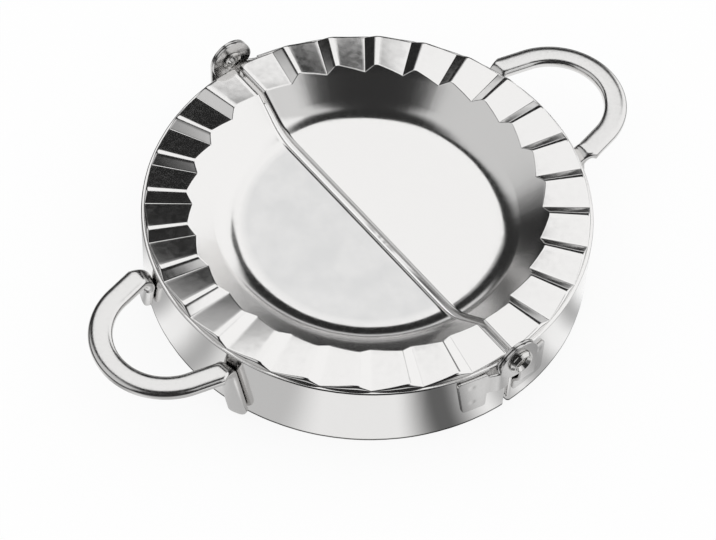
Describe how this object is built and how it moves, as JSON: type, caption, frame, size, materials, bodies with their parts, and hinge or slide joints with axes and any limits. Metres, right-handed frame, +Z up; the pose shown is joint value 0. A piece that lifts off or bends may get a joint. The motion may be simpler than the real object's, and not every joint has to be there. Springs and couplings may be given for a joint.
{
  "type": "empanada press",
  "caption": "Round folding dough press: two hinged half shells with a crimped rim, a shallow bowl, loop handles and a cutter edge.",
  "frame": {"origin": "middle of the opened press, at the height of the surface that its cutter edges stand on", "axes": "+X along the hinge axis towards the near rivet, +Y towards the back handle, +Z up out of the bowl"},
  "size_m": [0.1036, 0.137, 0.023],
  "materials": {
    "pressed_shell": "polished stainless sheet with faint brushing in the bowl wall",
    "handle_bar": "polished stainless bar",
    "hinge_bracket": "satin stainless sheet",
    "rivet": "satin stainless tube"
  },
  "bodies": {
    "front_half": {"front_half_shell": "pressed_shell", "front_handle": "handle_bar", "front_inner_bracket": "hinge_bracket", "front_outer_bracket": "hinge_bracket", "near_rivet": "rivet", "far_rivet": "rivet"},
    "back_half": {"back_half_shell": "pressed_shell", "back_handle": "handle_bar", "back_inner_bracket": "hinge_bracket", "back_outer_bracket": "hinge_bracket"}
  },
  "joints": [
    {"name": "fold", "type": "hinge", "parent": "front_half", "child": "back_half", "pos_m": [0, 0, 0.0182], "axis": [1, 0, 0], "range_deg": [0, 180]}
  ]
}
